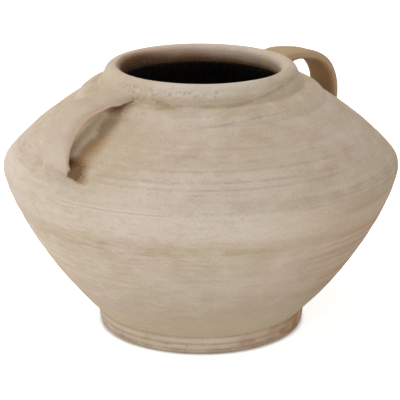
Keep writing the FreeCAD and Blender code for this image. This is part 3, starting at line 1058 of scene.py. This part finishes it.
def outer_surface(pieces):
    """A stand-in mesh of the pot's outside alone, for the straps to land on."""
    points = []
    faces = []
    for piece in pieces:
        mesh = piece.data
        way = numbers_of(mesh.attributes["way_in"].data, "value")
        first = len(points)
        points.extend(numbers_of(mesh.vertices, "co", 3).tolist())
        for face, buried in zip(mesh.polygons, joint_faces(mesh)):
            corners = list(face.vertices)
            if not buried and way[corners].max() <= 0.0:
                faces.append([first + corner for corner in corners])
    mesh = bpy.data.meshes.new("pot_outside")
    mesh.from_pydata(points, [], faces)
    mesh.shade_smooth()
    return placed("pot_outside", mesh)


# ---- the straps ----
STRAP_RISE = 0.002  # how far a strap swells before its bend
STRAP_SOFTNESS = 0.004  # how softly its line bends
BURIED = 0.0045  # depth of its lower end inside the wall
SIDES = {"left": -1.0, "right": 1.0}
# root: its depth below the top of the lip, fall: in degrees, inset: from the
# keel's radius, bend: the share of the strap's reach that its bend takes
LINES = {
    "left": {"root": 0.0135, "fall": 6.9, "inset": 0.0170, "bend": 0.482},
    "right": {"root": 0.0075, "fall": 1.5, "inset": 0.0240, "bend": 0.47},
}
SMEARS = {
    "left": {
        "Root Side": 0.001, "Root Above": 0.003, "Root Below": 0.003,
        "Tail Side": 0.002, "Tail Above": 0.016, "Tail Below": -0.001,
        "Root Smear": 0.010, "Root Slimness": 0.0018, "Belly": 0.0020,
    },
    "right": {
        "Root Side": 0.009, "Root Above": 0.002, "Root Below": 0.004,
        "Tail Side": 0.006, "Tail Above": 0.010, "Tail Below": 0.001,
        "Root Smear": 0.012, "Root Slimness": 0.001, "Belly": 0.0,
    },
}


def strap_line(root, fall, inset, bend):
    """The middle of a strap: out from the neck, over a bend and down."""
    outer = KEEL_RADIUS - inset
    reach = outer - LIP_CENTRE_RADIUS
    radius = bend * reach
    start = spot(LIP_CENTRE_RADIUS, POT_HEIGHT - root)
    run = reach - radius
    crest = spot(outer - radius, start[1] - run * math.tan(math.radians(fall)))
    turns = np.linspace(0.0, 1.0, RUN_POINTS)[:, None]
    swell = 4.0 * STRAP_RISE * turns * (1.0 - turns)
    first = start + (crest - start) * turns + swell * spot(0.0, 1.0)
    centre = crest - spot(0.0, radius)
    landing = shoulder_centre[1] + math.sqrt(
        shoulder_radius ** 2 - (outer - shoulder_centre[0]) ** 2
    )
    line = np.concatenate([
        first,
        arc(centre, crest, centre + spot(radius, 0.0)),
        [spot(outer, landing - BURIED)],
    ])
    line = softened(evenly(line), STRAP_SOFTNESS)
    return line[line[:, 0] > LIP_CENTRE_RADIUS + LIP_HALF]


def strap_mesh(name, line, side):
    mesh = bpy.data.meshes.new(name)
    points = [(side * radius, 0.0, height) for radius, height in line]
    mesh.from_pydata(points, [(k, k + 1) for k in range(len(points) - 1)], [])
    return mesh


MELT_START = 0.6  # hold at which a strap's shading starts to melt
MELT_SPAN = 0.39


def melt_ends(mesh):
    """Lets the shading of a smeared end pass into that of the pot under it."""
    own = numbers_of(mesh.vertex_normals, "vector", 3)
    hold = numbers_of(mesh.attributes["hold"].data, "value")
    out = numbers_of(mesh.attributes["pot_out"].data, "vector", 3)
    share = np.clip((hold - MELT_START) / MELT_SPAN, 0.0, 1.0)[:, None]
    mixed = own * (1.0 - share) + out * share
    mixed /= np.linalg.norm(mixed, axis=1, keepdims=True)
    vertices, _, _ = corner_table(mesh)
    mesh.normals_split_custom_set(mixed[vertices].tolist())


pot_outside = outer_surface(list(skins.values()))
strapping = strap_tree()
straps = {}
for name, side in SIDES.items():
    values = {
        "Pot": pot_outside,
        "Across": (0.0, side, 0.0),
        "Stations": 110,
        "Points Around": 72,
        "Width": 0.033,
        "Thickness": 0.010,
        "Groove": 0.0006,
        "Tail Smear Out": 0.024,
        "Tail Smear In": 0.002,
        "Sunk": 0.0002,
        "Dent Size": 0.022,
        "Dent Depth": 0.0012,
        "Seed": 11.0,
        "Material": handle_clay,
        **SMEARS[name],
    }
    line = strap_mesh(name + "_strap_line", strap_line(**LINES[name]), side)
    straps[name] = made("pulled_" + name + "_strap", line, strapping, values)
    melt_ends(straps[name].data)
bpy.data.objects.remove(pot_outside)

for node, skin in skins.items():
    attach(skin, "root")
    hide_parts(node)
for name, strap in straps.items():
    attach(strap, "root")
    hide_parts(name + "_handle", name + "_upper_luting", name + "_lower_luting")
floor_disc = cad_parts["floor_disc"]
for slot in floor_disc.material_slots:
    slot.material = floor_clay


# ---- floor, light and camera ----
def camera_light(graph):
    """1 where the camera sees a surface, straight or in a gloss or a glass."""
    seen = [
        graph.add("ShaderNodeLightPath", {}, name)
        for name in ("Is Camera Ray", "Is Glossy Ray", "Is Transmission Ray")
    ]
    return graph.limit(seen[0] + seen[1] + seen[2])


FLOOR_HALF = 6.0
PAPER = (0.92, 0.92, 0.92, 1.0)
GLOW_UNDER = 0.06  # of the paper under the foot
GLOW_BEYOND = 0.64  # added beyond the foot
CONTACT = (0.005, 0.002)  # how far inside and outside the foot it starts and ends
SKY_LIGHT = 0.28


def make_floor():
    mesh = bpy.data.meshes.new("studio_floor")
    near, far = -FLOOR_HALF, FLOOR_HALF
    corners = [(near, near, 0.0), (far, near, 0.0), (far, far, 0.0), (near, far, 0.0)]
    mesh.from_pydata(corners, [], [(0, 1, 2, 3)])
    floor = placed("studio_floor", mesh)
    paper = bpy.data.materials.new("white_paper")
    paper.use_nodes = True
    graph = Graph(paper.node_tree)
    surface = paper.node_tree.nodes["Principled BSDF"]
    surface.inputs["Base Color"].default_value = PAPER
    surface.inputs["Roughness"].default_value = 1.0
    surface.inputs["Specular IOR Level"].default_value = 0.0
    surface.inputs["Emission Strength"].default_value = 1.0
    at = graph.add("ShaderNodeTexCoord", {}, "Object")
    off = (at * (1.0, 1.0, 0.0)).length()
    beyond = graph.rise(off, FOOT_RADIUS - CONTACT[0], FOOT_RADIUS + CONTACT[1])
    glow = camera_light(graph) * (GLOW_UNDER + beyond * GLOW_BEYOND)
    graph.feed(surface.inputs["Emission Color"], graph.vector(glow, glow, glow))
    mesh.materials.append(paper)


def make_world():
    world = bpy.data.worlds.new("studio")
    bpy.context.scene.world = world
    world.use_nodes = True
    graph = Graph(world.node_tree)
    sky = world.node_tree.nodes["Background"]
    seen = camera_light(graph)
    graph.feed(sky.inputs["Strength"], seen + (1.0 - seen) * SKY_LIGHT)
    sky.inputs["Color"].default_value = (1.0, 1.0, 1.0, 1.0)


def aim(holder, place, way):
    """Puts a lamp or the camera at a place, looking along a way."""
    holder.location = place
    holder.rotation_euler = way.to_track_quat("-Z", "Y").to_euler()


# name, degrees to the right of the camera, degrees up, size, power
LAMPS = (
    ("high_lamp", -150.0, 65.0, 0.6, 15.0),
    ("left_card", -75.0, 12.0, 1.0, 10.5),
    ("front_card", -15.0, 12.0, 1.0, 5.2),
    ("right_card", 45.0, 12.0, 1.0, 7.7),
)
LAMP_DISTANCE = 1.7


def make_lamp(name, turned, lifted, size, power):
    """A soft square lamp that faces the middle of the pot."""
    turn = math.radians(turned)
    lift = math.radians(lifted)
    level = (right * math.sin(turn) - ahead * math.cos(turn)) * math.cos(lift)
    way = level + Vector((0.0, 0.0, math.sin(lift)))
    middle = Vector((0.0, 0.0, KEEL_HEIGHT))
    lamp = bpy.data.lights.new(name, "AREA")
    lamp.shape = "SQUARE"
    lamp.size = size
    lamp.energy = power
    aim(placed(name, lamp), middle + way * LAMP_DISTANCE, -way)


SENSOR_WIDTH = 36.0  # millimetres, as Blender has them
LENS = 152.0
VIEW_TURN = math.radians(-40.0)
VIEW_TILT = 0.31383
VIEW_DISTANCE = 1.4
VIEW_HEIGHT = 0.5627
VIEW_ASIDE = 0.0008


def make_camera():
    camera = bpy.data.cameras.new("camera")
    camera.sensor_width = SENSOR_WIDTH
    camera.lens = LENS
    camera.dof.use_dof = False
    holder = placed("camera", camera)
    ahead = Vector((-math.sin(VIEW_TURN), math.cos(VIEW_TURN), 0.0))
    right = Vector((math.cos(VIEW_TURN), math.sin(VIEW_TURN), 0.0))
    place = Vector((0.0, 0.0, VIEW_HEIGHT)) - ahead * VIEW_DISTANCE
    drop = VIEW_DISTANCE * math.tan(VIEW_TILT)
    target = Vector((0.0, 0.0, VIEW_HEIGHT - drop)) - right * VIEW_ASIDE
    aim(holder, place, target - place)
    bpy.context.scene.camera = holder
    return ahead, right


ahead, right = make_camera()
make_floor()
make_world()
for lamp in LAMPS:
    make_lamp(*lamp)
bpy.context.scene.view_settings.view_transform = "Standard"
